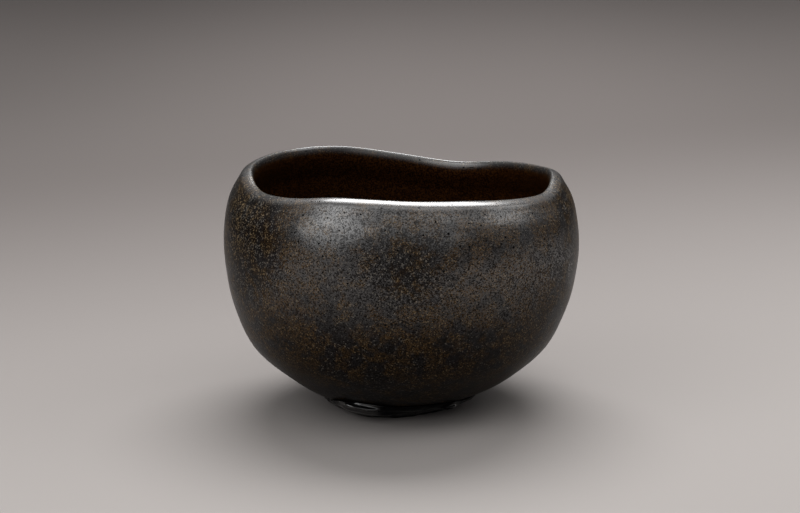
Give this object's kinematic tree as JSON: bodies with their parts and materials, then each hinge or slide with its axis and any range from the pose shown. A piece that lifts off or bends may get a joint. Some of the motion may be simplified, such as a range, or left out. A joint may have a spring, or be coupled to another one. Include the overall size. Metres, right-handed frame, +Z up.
{
  "type": "tea bowl",
  "caption": "Hand-formed tea bowl with a rounded body, a thick rising and falling lip, an incurved mouth and a low carved foot ring, in dark speckled satin glaze.",
  "frame": {"origin": "on the surface the bowl stands on, under the middle of the body", "axes": "+Z up out of the mouth; -Y towards the front, the side with the long level lip; +X to the right of someone facing the front"},
  "size_m": [0.1195, 0.1196, 0.0812],
  "materials": {
    "fired_clay": "matt, fine grained, low fired",
    "satin_glaze": "satin, near black with fine ochre and blue-grey speckle, pinholes",
    "gloss_glaze": "glossy black"
  },
  "bodies": {
    "root": {"clay_body": "fired_clay", "outer_glaze": "satin_glaze", "inner_glaze": "satin_glaze", "foot_glaze": "gloss_glaze", "recess_glaze": "gloss_glaze"}
  },
  "joints": []
}
